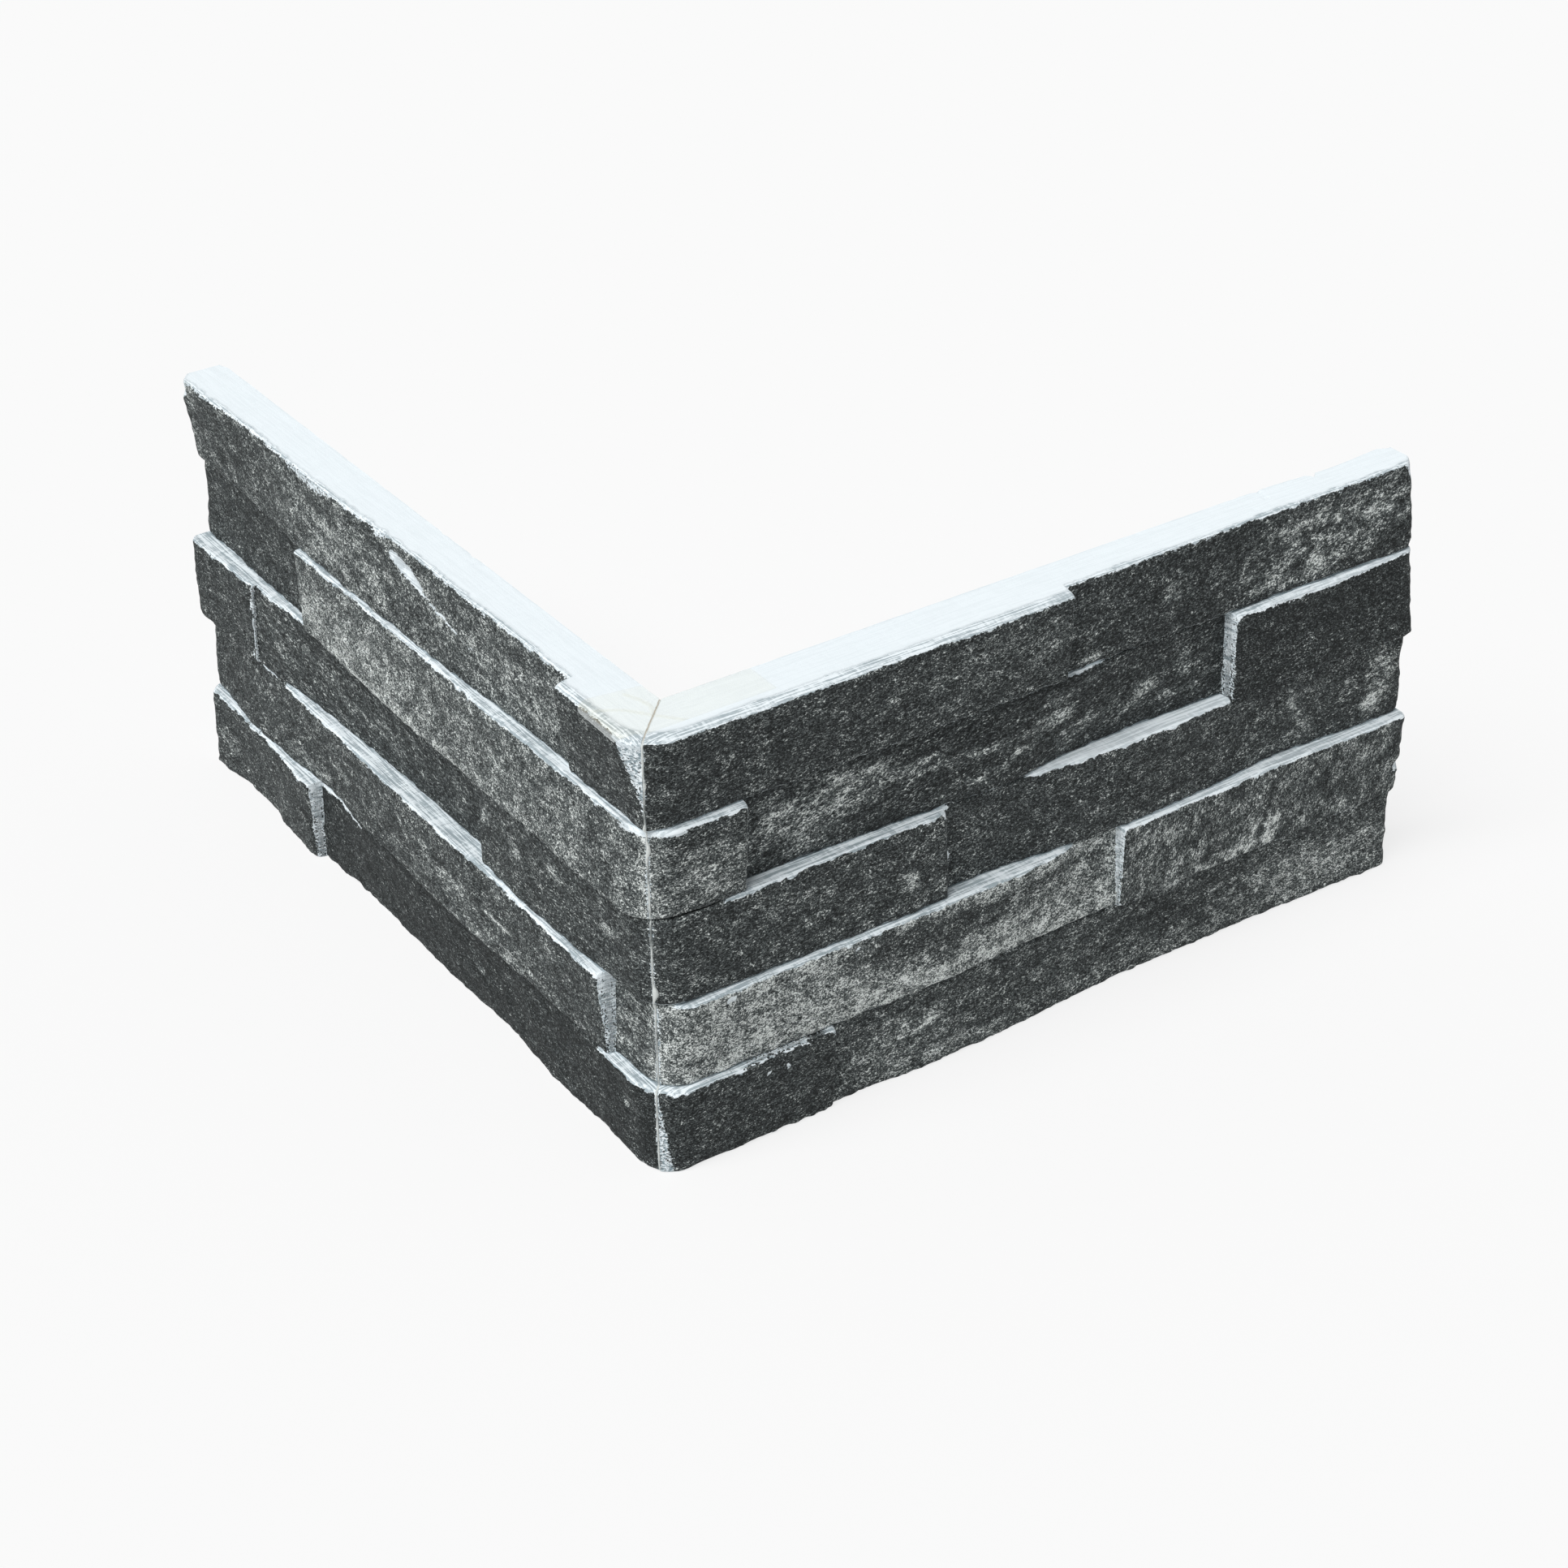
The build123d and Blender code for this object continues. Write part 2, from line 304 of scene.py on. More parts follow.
# Edges of the tape in plan, from its square end to the mitre and on towards the left shoulder.
# There it reaches as far each way along the stone, and its torn rim runs between the two places of the fold.
# Then the numbers of its rows on the right panel and on the left one, and of its columns.
TAPE_FRONT = ((36, -16.6), (-16.6, -16.6), (-18.4, -15.2))
TAPE_BACK = ((36.2, -0.3), (0.1, 0.1), (-0.2, 11.3))
TAPE_SHOULDER = 14.5
TAPE_FOLD = (-10.4, 11.9)
TAPE_ROWS = 40
FOLD_ROWS = 22
TAPE_COLUMNS = 30

# The photograph's camera: sensor and lens in millimetres, turn, tilt and roll in degrees, and place in metres
SENSOR = 36.0
LENS = 73.85
VIEW_TURNS = (-34.005, 31.975, -0.758)
VIEW_PLACE = (-0.484404, -0.791387, 0.724639)

# Direction towards the key lamp, and how wide its light is in degrees
KEY_DIRECTION = (-0.42, -0.11, 0.72)
KEY_SPREAD = 38

# Brightness of the background to the eye, the share of white in what it sees of the floor, and half its width
BACKGROUND = 0.955
FLOOR_WHITE = 0.75
FLOOR_HALF = 8.0


def linear(code):
    """The linear colour of an sRGB hex value, by the standard curve, with an alpha of one."""
    value = np.array([int(code[i:i + 2], 16) for i in (1, 3, 5)]) / 255
    low = value / 12.92
    high = ((value + 0.055) / 1.055) ** 2.4
    return (*np.where(value <= 0.04045, low, high), 1.0)


def smooth(value):
    """Three squares less two cubes of the value held between 0 and 1."""
    share = np.clip(value, 0, 1)
    return share * share * (3 - 2 * share)


def lattice(column, row, seed):
    """A fixed random number from 0 to 1 for each whole-number place, by multiplying and folding its bits."""
    bits = column.astype(np.int64) * 374761393 + row.astype(np.int64) * 668265263 + seed * 974711
    bits = bits & 0xFFFFFFFF
    bits = ((bits ^ (bits >> 13)) * 1274126177) & 0xFFFFFFFF
    return ((bits ^ (bits >> 16)) & 0xFFFFFF) / 0xFFFFFF


def noise(across, up, cell, seed):
    """Random numbers on a square lattice of that cell, blended smoothly between its corners, from -1 to 1."""
    u, v = np.broadcast_arrays(np.asarray(across, float) / cell, np.asarray(up, float) / cell)
    column, row = np.floor(u), np.floor(v)
    a, b = smooth(u - column), smooth(v - row)
    low = lattice(column, row, seed) * (1 - a) + lattice(column + 1, row, seed) * a
    high = lattice(column, row + 1, seed) * (1 - a) + lattice(column + 1, row + 1, seed) * a
    return 2 * (low * (1 - b) + high * b) - 1


def wave(stations, along):
    """A curve through (along, relief) points, cubic between them, level at each crest and beyond both ends.

    Its slope at a point is the harmonic mean of the slopes beside it, or none where they differ in sign.
    """
    x = np.array([stations[0][0] - 1, *(s[0] for s in stations), stations[-1][0] + 1], float)
    y = np.array([stations[0][1], *(s[1] for s in stations), stations[-1][1]], float)
    slope = np.diff(y) / np.diff(x)
    before, after = slope[:-1], slope[1:]
    same = before * after > 0
    inner = np.where(same, 2 * before * after / np.where(same, before + after, 1), 0)
    tangent = np.concatenate(([0], inner, [0]))
    held = np.clip(along, x[0], x[-1])
    place = np.clip(np.searchsorted(x, held) - 1, 0, len(x) - 2)
    width = x[place + 1] - x[place]
    t = (held - x[place]) / width
    rise = smooth(t)
    swing = width * (tangent[place] * t * (1 - t) ** 2 - tangent[place + 1] * t * t * (1 - t))
    return y[place] * (1 - rise) + y[place + 1] * rise + swing


def patch(along, up, patches, wander):
    """The sum of soft ellipses: each falls from its gain at the middle to nothing at its turned outline.

    The outlines wander by that many millimetres.
    """
    total = np.zeros(np.shape(along))
    across = along + wander * noise(along, up, 9, 71)
    height = up + 0.6 * wander * noise(along, up, 7, 72)
    for middle, level, length, breadth, turn, gain in patches:
        c, s = np.cos(np.radians(turn)), np.sin(np.radians(turn))
        u = ((across - middle) * c + (height - level) * s) / length
        v = ((height - level) * c - (across - middle) * s) / breadth
        total += gain * smooth(1.35 - np.sqrt(u * u + v * v))
    return total


def bumps(along, places):
    """The sum of smooth humps along a line, each with its middle, half length and height."""
    return sum(height * smooth(1 - np.abs(along - middle) / length) for middle, length, height in places)


class PanelGrid:
    """The closed surface of one panel as a grid: rows go round its section, columns run out from the mitre.

    Every row is (along, depth from the wall, height). Rows climb the courses, cross the top, go down the wall
    face and come back under the foot. Within a course the depth goes straight from the wave at the foot to
    the wave at the head, less the rounding of the arrises. A corner stone's depth rises from the seam along
    its nose.
    """

    def __init__(self, side, sizes, seed):
        self.side = side
        self.sizes = sizes
        self.seed = seed
        self.leg = getattr(sizes, side + "_leg") / MM
        self.row = sizes.row_height / MM
        self.bed = sizes.bed / MM
        self.gap = sizes.glue / MM / np.sqrt(2)
        self.base, self.corner_share = self.columns()
        self.build()

    def columns(self):
        """Where the columns stand, and the share of the mitre's own place in each one near the corner."""
        steps = [stone.start for course in COURSES for stone in getattr(course, self.side)[1:]]
        plain = np.arange(CORNER + SPACING, self.leg - END_ROOM, SPACING)
        for step in steps:
            plain = plain[np.abs(plain - step) > STEP_ROOM]
        crowds = np.concatenate([step + STEP_COLUMNS for step in steps])
        free = np.unique(np.concatenate((plain, crowds, self.leg + END_COLUMNS)).round(3))
        base = np.concatenate((CORNER * CORNER_SHARES, free))
        share = np.concatenate((1 - CORNER_SHARES, np.zeros(len(free))))
        return base, share

    def along(self, mitre_depth):
        """Distance along the panel for rows whose depth at the mitre is given, less half of the glue."""
        start = self.gap - np.atleast_1d(mitre_depth)
        return start[:, None] * self.corner_share + self.base

    def arris(self, number, place, part):
        """(reach, drop) of a stone's worn arris along the panel: the part's own size, changed by noise."""
        sizes = self.sizes
        wear = noise(self.base, number * 9 + place * 3, 4.5, self.seed + part)
        wear += 0.6 * noise(self.base, number * 9 + place * 3, 1.7, self.seed + part + 7)
        if part and number == 0 and place == 0:
            return sizes.shoulder_reach / MM * (1 + 0.10 * wear), sizes.shoulder_drop / MM * (1 + 0.12 * wear)
        reach = sizes.arris / MM * (0.95 + 0.45 * wear)
        drop = sizes.arris / MM * (0.95 + 0.40 * wear)
        if part and number == 0:
            drop = drop + bumps(self.base, WORN_EDGES[self.side])
        return reach, drop

    def course_rows(self, number):
        """The rows of one course, from its foot edge to its head edge: along, depth, height and stone."""
        course = COURSES[number]
        stones = getattr(course, self.side)
        ends = [stone.start for stone in stones[1:]] + [self.leg]
        faces = np.linspace(0, 1, FACE_ROWS + 2)[1:-1]
        rise = np.concatenate((np.zeros(len(FOOT_TURNS)), faces, np.ones(len(HEAD_TURNS))))[:, None]
        foot_turn = np.concatenate((FOOT_TURNS, np.zeros(FACE_ROWS + len(HEAD_TURNS))))[:, None]
        head_turn = np.concatenate((np.zeros(len(FOOT_TURNS) + FACE_ROWS), HEAD_TURNS))[:, None]
        floor = self.row * (len(COURSES) - 1 - number)
        seam = self.bed + course.seam
        along = depth = height = index = None
        for place, (stone, end) in enumerate(zip(stones, ends)):
            foot, head = self.arris(number, place, 0), self.arris(number, place, 1)
            inset = foot[0] * (1 - np.cos(foot_turn)) + head[0] * (1 - np.cos(head_turn))
            low = floor + foot[1] * (1 - np.sin(foot_turn))
            high = floor + self.row - head[1] * (1 - np.sin(head_turn))
            if place == 0:
                along = self.along(seam - inset[:, 0])
            face = self.bed + wave(stone.lower, along) * (1 - rise) + wave(stone.upper, along) * rise
            if place == 0:
                t = np.clip((along - self.gap + seam - inset) / (self.sizes.nose_run / MM), 0, 1)
                face = seam + (face - seam) * (1 - (1 - t) ** NOSE_POWER)
            bevel = np.clip(1 - (end - along) / (END_BEVEL if end == self.leg else STEP_BEVEL), 0, 1)
            if end < self.leg:
                proud = wave(stone.upper, end) - wave(stones[place + 1].upper, end)
                bevel = bevel * np.clip(proud / FULL_STEP, 0, 1)
            if place:
                proud = wave(stone.upper, stone.start) - wave(stones[place - 1].upper, stone.start)
                start_bevel = np.clip(1 - (along - stone.start) / STEP_BEVEL, 0, 1)
                bevel += start_bevel * np.clip(proud / FULL_STEP, 0, 1)
            cut = BEVEL_DEPTH * (1 - np.sqrt(1 - np.clip(bevel, 0, 1) ** 2))
            face = face - inset - cut
            level = low * (1 - rise) + high * rise
            if place == 0:
                depth, height, index = face, level, np.zeros(along.shape)
                continue
            # The next stone takes over within the width of a steep wall.
            share = np.clip((along - stone.start + WALL) / (2 * WALL), 0, 1)
            depth = depth * (1 - share) + face * share
            height = height * (1 - share) + level * share
            index = np.where(share > 0.5, place, index)
        return along, depth, height, index, foot_turn + head_turn

    def end_wear(self, along, depth, height):
        """How far the face is worn back at the free end: noise over its height.

        It fades within 4 mm of the end, and towards the wall.
        """
        near = smooth((along - self.leg + 4) / 4) * smooth((depth - 5) / 9)
        worn = 0.75 + 0.9 * noise(height, 0, 8, self.seed + 14) + 0.5 * noise(height, 5, 2.6, self.seed + 15)
        return near * np.maximum(worn, 0)

    def relief(self, along, height, number):
        """Split-face relief in millimetres: noise of four sizes, the broad ones drawn out along the stone."""
        seed = self.seed + 40 * number
        broad = 0.34 * noise(along, 1.5 * height, 17, seed)
        middle = 0.30 * noise(along, 1.4 * height, 6.5, seed + 1)
        small = 0.20 * noise(along, height, 3.1, seed + 2)
        fine = 0.12 * noise(along, height, 1.5, seed + 3)
        return broad + middle + small + fine

    def single(self, along, depth, height, kind):
        """One row of the grid that lies on no stone."""
        plain = np.ones((1, len(self.base)))
        return [along[None], depth[None], height[None], -plain, kind * plain]

    def build(self):
        """Stacks all rows, and works out the print, its paleness, its grain and the marks of the mould."""
        rows = []
        for number in reversed(range(len(COURSES))):
            along, depth, height, stone, turn = self.course_rows(number)
            # The relief fades out at the seam, at the free end and round the arrises.
            calm = smooth((along - along[:, :1]) / 6) * smooth((self.leg - along) / 3 + 0.3)
            calm = calm * np.cos(turn) ** 0.5
            rough = self.relief(along, height, number) * calm
            chips = patch(along, height, CHIPS[self.side], 0.8)
            depth = depth + self.sizes.relief * rough - CHIP_DEPTH * np.clip(chips, 0, 2)
            depth = depth - self.end_wear(along, depth, height)
            if rows:
                # The ledge goes from the head of the course below to the foot of this one.
                below = rows[-1]
                for share in LEDGE_SHARES:
                    ledge = [below[i][-1] * (1 - share) + grid[0] * share
                             for i, grid in enumerate((along, depth, height))]
                    ledge[2] = ledge[2] + 0.10 * noise(0.04 * ledge[0], ledge[1], 1.3, self.seed + 5)
                    rows.append(self.single(*ledge, LEDGE + number))
            rows.append([along, depth, height, stone, np.full(along.shape, float(number))])
        total = self.row * len(COURSES)
        # The top goes from its worn front edge to its broken back edge, the wall face down, and the foot out.
        edge_depth, edge_height = rows[-1][1][-1], rows[-1][2][-1]
        broken = bumps(self.base, BROKEN_BACK[self.side])
        broken = broken + 0.25 * np.abs(noise(self.base, 3, 6, self.seed + 8)) * (self.corner_share == 0)
        for share in TOP_SHARES:
            depth = edge_depth * (1 - share) + broken * share
            along = self.along(depth[0])[0]
            height = edge_height * (1 - share) ** 4 + total * (1 - (1 - share) ** 4)
            height = height + 0.05 * noise(0.1 * along, depth, 1.6, self.seed + 6) - 0.03
            for middle, level, radius in PITS[self.side]:
                height = height - 0.9 * smooth(1 - np.hypot(along - middle, depth - level) / radius)
            rows.append(self.single(along, depth, height, TOP))
        for level in BACK_LEVELS:
            depth = broken * smooth((level - 0.955) / 0.045)
            height = np.full(len(self.base), total * level)
            rows.append(self.single(self.along(depth[0])[0], depth, height, BACK))
        for share in LEDGE_SHARES:
            depth = rows[0][1][0] * share
            rows.append(self.single(self.along(depth[0])[0], depth, np.zeros(len(self.base)), FOOT))
        self.s, self.d, self.z, self.stone, self.kind = (np.concatenate(grids) for grids in zip(*rows))
        self.paint()

    def front(self):
        """How squarely each place looks out, as the depth part of the surface's normal, and that normal."""
        points = np.stack((self.s, -self.d, self.z), -1)
        across = np.gradient(points, axis=1)
        around = (np.roll(points, -1, 0) - np.roll(points, 1, 0)) / 2
        normal = np.cross(across, around)
        return -normal[..., 1] / np.maximum(np.linalg.norm(normal, axis=-1), 1e-9), normal

    def paint(self):
        """Works out the fields that the material reads.

        ink: how much print lies on the body. It was sprayed on from the front, so only what looks out has it.
        pale: how much of the print's stone is pale, and coarse: how it clumps.
        grain: where the print is read, turned and drawn out by stone.
        streak: how strongly the body shows mould marks, and body: where they are read.
        """
        facing, normal = self.front()
        from_seam = self.s - self.s[:, :1]
        upright = np.hypot(normal[..., 0], normal[..., 1]) / np.maximum(np.linalg.norm(normal, axis=-1), 1e-9)
        facing = facing + (upright - facing) * smooth(1.5 - from_seam / NOSE_FACE)
        for number in range(1, len(COURSES)):
            # The print ends on the arris of a head in strokes about 2 mm wide.
            heads = np.flatnonzero(self.kind[:, 0] == number)[-len(HEAD_TURNS):]
            facing[heads] -= 0.12 + 0.16 * noise(self.s[heads], number, 2.0, self.seed + 13)
        ink = np.where(self.kind < LEDGE, smooth((facing - 0.55) / 0.30), 0)
        pale, coarse, marks, wall_ink = (np.zeros(self.s.shape) for _ in range(4))
        grain = np.stack((self.s, self.d, self.z), -1)
        for number, course in enumerate(COURSES):
            on_course = self.kind == number
            rows = np.flatnonzero(on_course[:, 0])
            for place, stone in enumerate(getattr(course, self.side)):
                here = on_course & (self.stone == place)
                pale[here], coarse[here], marks[here] = stone.pale, stone.coarse, stone.marks
                if place:
                    # The end of a stone that stands out caught some of the spray, least near its head.
                    before = getattr(course, self.side)[place - 1]
                    step = abs(wave(stone.upper, stone.start) - wave(before.upper, stone.start))
                    beside = on_course & (np.abs(self.s - stone.start) < 1)
                    rise = (self.z[beside] / self.row) % 1
                    wall_ink[beside] = 0.52 - 0.24 * rise if step > FULL_STEP else 0.55
                turn, longways, crossways = stone.grain
                c, s = np.cos(np.radians(turn)), np.sin(np.radians(turn))
                u, v = self.s[here], self.z[here]
                grain[here] = np.stack(((u * c + v * s) / longways + 61 * number, self.d[here] + 23 * place,
                                        (v * c - u * s) / crossways), -1)
            # Beside the seam the print is rubbed off in a ragged rim.
            low, high = getattr(course, self.side + "_rim")
            floor = self.row * (len(COURSES) - 1 - number)
            width = low + (high - low) * np.clip((self.z - floor) / self.row, 0, 1)
            ragged = (0.25 + 0.16 * width) * noise(self.s, self.z, 2.2, self.seed + 9)
            rim = smooth((width + ragged - from_seam) / (1.2 + 0.4 * np.maximum(width, 0)) + 0.5)
            ink = np.where(on_course, ink * (1 - (0.60 + 0.016 * np.maximum(width, 0)) * rim), ink)
            marks = np.where(on_course, np.maximum(marks, rim), marks)
            # A corner stone of middling paleness is frosted along the seam.
            frost = 0.20 * smooth(1 - from_seam / 8) * (0.2 < getattr(course, self.side)[0].pale < 0.5)
            pale = pale + np.where(on_course, frost, 0)
            if number:
                # A course that stands hardly further out than the one above keeps its print up to the joint.
                width = self.d[rows[-len(HEAD_TURNS) - 1]] - above
                if number == 1:
                    # The second course is bare round the corner as well, where it stands back.
                    width = width + 3 * smooth(1.5 - from_seam[rows[-1]] / 10)
                bare = smooth((width - 0.05) / 0.8) * np.ones((len(rows), 1))
                heads = rows[-len(HEAD_TURNS):]
                ink[heads] = 1 - (1 - ink[heads]) * bare[:len(heads)]
                ledges = self.kind == LEDGE + number - 1
                ink[ledges] = 1 - np.broadcast_to(bare[:1], ink.shape)[ledges]
                marks[ledges] = np.broadcast_to(marks[rows[-1]], ink.shape)[ledges]
            above = self.d[rows[len(FOOT_TURNS)]]
        pale = pale + patch(self.s, self.z, PATCHES[self.side], 3.0)
        chips = patch(self.s, self.z, CHIPS[self.side], 0.8)
        # Kept print, and at 107 mm beside the seam a painted shadow line along the joint.
        kept = np.clip(patch(self.s, self.z, INKED_AND_SHADED_EDGES[self.side], 0.8), 0, 1)
        ink = np.where(self.kind < TOP, np.maximum(ink, kept), 0)
        rubbed = RUBBED_HEIGHT - bumps(self.s, WORN_EDGES[self.side])
        rubbed = rubbed + noise(self.s, self.z, 3, self.seed + 12)
        ink = ink * (1 - 0.62 * smooth((self.z - rubbed) / 2) * (self.kind == 0))
        ink = np.where(self.kind < LEDGE, ink * (1 - smooth(2.0 * chips)), ink)
        # The ends of stones that stand out have their marks across, and those of the top shoulder are finer.
        wall = np.abs(normal[..., 0]) > 0.8 * np.linalg.norm(normal, axis=-1)
        wall = wall & (self.kind < LEDGE) & (from_seam > NOSE_FACE)
        ink[wall] = wall_ink[wall]
        body = np.stack((self.s, self.d, self.z), -1)
        body[wall] = np.stack((3 * self.d, self.s, self.z), -1)[wall]
        shoulder = (self.kind == 0) & (self.z > self.row * len(COURSES) - self.sizes.shoulder_drop / MM)
        body[shoulder] = body[shoulder] * (1.0, 1.35, 1.35)
        streak = np.where(self.kind == TOP, 0.06, np.where(wall, 0.8, np.where(shoulder, 0.74, marks)))
        streak = np.where((chips > 0.1) & (self.kind < LEDGE), 0.45, streak)
        streak = np.where(self.kind == BACK, 0.16, streak)
        self.fields = {"ink": ink, "pale": np.clip(pale, -0.3, 1.2), "coarse": coarse, "streak": streak,
                       "grain": grain, "body": body}

    def points(self):
        """The grid in the frame's own axes, in metres: the left panel is laid out over the plane x = y."""
        if self.side == "right":
            return np.stack((self.s, -self.d, self.z), -1) * MM
        return np.stack((-self.d, self.s, self.z), -1) * MM


def quads(row, after, count):
    """Quads between each row and the one after it, in a grid with that many columns."""
    column = np.arange(count - 1)
    low, high = row[:, None] * count + column, after[:, None] * count + column
    return np.stack((low, low + 1, high + 1, high), -1).reshape(-1, 4)


def ring_faces(rows, count, turned):
    """Quads between rows that close round on themselves, with one face on each end, turned over if asked."""
    ring = np.arange(rows)
    sides = quads(ring, (ring + 1) % rows, count)
    first = ring * count
    last = first[::-1] + count - 1
    faces = [sides[:, ::-1], first[::-1], last[::-1]] if turned else [sides, first, last]
    return faces[0].tolist() + [faces[1].tolist(), faces[2].tolist()]


def make_piece(name, points, faces, fields, material, node, ends=None):
    """Puts a grid into a mesh of its own at the origin, and sets it in its CAD node's place.

    Fields lie on the corners of the faces, so that the two end faces, which come last, can have values of
    their own.
    """
    mesh = bpy.data.meshes.new(name)
    mesh.from_pydata(points.reshape(-1, 3), [], faces)
    corners = np.empty(len(mesh.loops), np.int32)
    mesh.loops.foreach_get("vertex_index", corners)
    for field, values in fields.items():
        vector = values.ndim == 3
        attribute = mesh.attributes.new(field, "FLOAT_VECTOR" if vector else "FLOAT", "CORNER")
        spread = values.reshape(len(mesh.vertices), -1)[corners]
        if ends and field in ends:
            spread[-2 * len(points):] = ends[field]
        attribute.data.foreach_set("vector" if vector else "value", spread.astype(np.float32).ravel())
    mesh.shade_smooth()
    mesh.set_sharp_from_angle(angle=radians(50))
    mesh.materials.append(material)
    piece = bpy.data.objects.new(name, mesh)
    bpy.context.scene.collection.objects.link(piece)
    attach(piece, "root")
    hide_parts(node)
    return piece


def add(tree, kind, inputs=None, **settings):
    """Adds a shader node of that kind with its settings, and fills its inputs with values or with links.

    A node that is given as an input is linked by its first output.
    """
    node = tree.nodes.new("ShaderNode" + kind)
    for name, value in settings.items():
        setattr(node, name, value)
    for name, value in (inputs or {}).items():
        if isinstance(value, bpy.types.Node):
            value = value.outputs[0]
        if isinstance(value, bpy.types.NodeSocket):
            tree.links.new(value, node.inputs[name])
        else:
            node.inputs[name].default_value = value
    return node


def new_material(name):
    """An empty node material and its tree."""
    material = bpy.data.materials.new(name)
    material.use_nodes = True
    material.node_tree.nodes.clear()
    return material, material.node_tree


def printed_concrete(colours):
    """Cast concrete with a split face, sprayed with dark stone print from the front.

    The face reads as charcoal stone with dark pores and pale crystals of about a millimetre. What the
    spray missed is the chalky pale body, with fine marks drawn out along the mould. Both are matt, the print
    a little less.
    """
    material, tree = new_material("printed_split_face_concrete")
    ink, pale, coarse, streak = (add(tree, "Attribute", attribute_name=name).outputs["Fac"]
                                 for name in ("ink", "pale", "coarse", "streak"))
    grain, body = (add(tree, "Attribute", attribute_name=name).outputs["Vector"]
                   for name in ("grain", "body"))

    # Crystals of 1 mm, grit of 0.45 mm, and clumps of 5 mm that they gather in
    crystal = add(tree, "TexNoise", {"Vector": grain, "Scale": 1 / 1.0, "Detail": 2.0, "Roughness": 0.7,
                                     "Distortion": 0.7})
    grit = add(tree, "TexNoise", {"Vector": grain, "Scale": 1 / 0.45, "Detail": 1.0})
    clump = add(tree, "TexNoise", {"Vector": grain, "Scale": 1 / 5, "Detail": 4.0, "Roughness": 0.65})
    speck = add(tree, "Mix", {0: 0.50, 2: crystal, 3: grit})
    # Tone of the stone: the paler the place and the clump, the more of its grains reach up the scale.
    swing = add(tree, "MapRange", {"Value": clump, "To Min": -0.24, "To Max": 0.24})
    gather = add(tree, "Math", {0: swing, 1: coarse, 2: 0.237}, operation="MULTIPLY_ADD")
    shade = add(tree, "Math", {0: pale, 1: gather, 2: speck}, operation="MULTIPLY_ADD")
    shade = add(tree, "Math", {0: clump, 1: 0.086, 2: shade}, operation="MULTIPLY_ADD")
    # Thin crystals, curled and about 0.4 mm wide, lie along the lines where another noise passes its middle.
    curl = add(tree, "TexNoise", {"Vector": grain, "Scale": 1 / 2.0, "Detail": 1.5, "Distortion": 1.0})
    away = add(tree, "Math", {0: curl, 1: 0.5}, operation="SUBTRACT")
    away = add(tree, "Math", {0: away}, operation="ABSOLUTE")
    thread = add(tree, "MapRange", {"Value": away, "From Min": 0.035, "From Max": 0.01})
    lit = add(tree, "MapRange", {"Value": clump, "From Min": 0.42, "From Max": 0.62,
                                 "To Min": 0.010, "To Max": 0.145})
    shade = add(tree, "Math", {0: thread, 1: lit, 2: shade}, operation="MULTIPLY_ADD")
    tone = add(tree, "MapRange", {"Value": shade, "From Min": 0.476, "From Max": 0.783})
    stone = add(tree, "ValToRGB", {0: tone})
    stone.color_ramp.elements[0].color = colours.pore
    stone.color_ramp.elements[1].color = colours.crystal
    for place, step in ((0.20, colours.ink_dark), (0.467, colours.ink_mid), (0.682, colours.grey),
                        (0.841, colours.grain)):
        stone.color_ramp.elements.new(place).color = step

    # Mould marks about 1 mm apart along the ledges, and fainter brush marks across them
    along = add(tree, "Mapping", {"Vector": body, "Scale": (0.045, 1, 1)})
    line = add(tree, "TexNoise", {"Vector": along, "Scale": 1 / 0.9, "Detail": 3.0,
                                  "Roughness": 0.65, "Distortion": 0.4})
    across = add(tree, "Mapping", {"Vector": body, "Scale": (1, 0.15, 0.15)})
    brush = add(tree, "TexNoise", {"Vector": across, "Scale": 1 / 1.2, "Detail": 2.0})
    rub = add(tree, "Mix", {0: 0.20, 2: line, 3: brush})
    mark = add(tree, "MapRange", {"Value": rub, "From Min": 0.46, "From Max": 0.56})
    worn = add(tree, "Math", {0: mark, 1: streak}, operation="MULTIPLY")
    chalk = add(tree, "Mix", {0: worn, 6: colours.body, 7: colours.mark}, data_type="RGBA")

    # The edge of the print breaks up into spots of about 0.8 mm.
    ragged = add(tree, "TexNoise", {"Vector": grain, "Scale": 1 / 0.8, "Detail": 2.0})
    edge = add(tree, "Math", {0: ragged, 1: 1.6, 2: ink}, operation="MULTIPLY_ADD")
    print_share = add(tree, "MapRange", {"Value": edge, "From Min": 1.22, "From Max": 1.36},
                      interpolation_type="SMOOTHSTEP")
    colour = add(tree, "Mix", {0: print_share, 6: chalk.outputs[2], 7: stone}, data_type="RGBA")
    rough = add(tree, "MapRange", {"Value": print_share, "To Min": 0.9, "To Max": 0.75})
    bump = add(tree, "Bump", {"Strength": 0.45, "Distance": 0.35 * MM, "Height": speck})
    shader = add(tree, "BsdfPrincipled", {"Base Color": colour.outputs[2], "Roughness": rough,
                                          "Normal": bump, "Specular IOR Level": 0.15})
    add(tree, "OutputMaterial", {"Surface": shader})
    return material


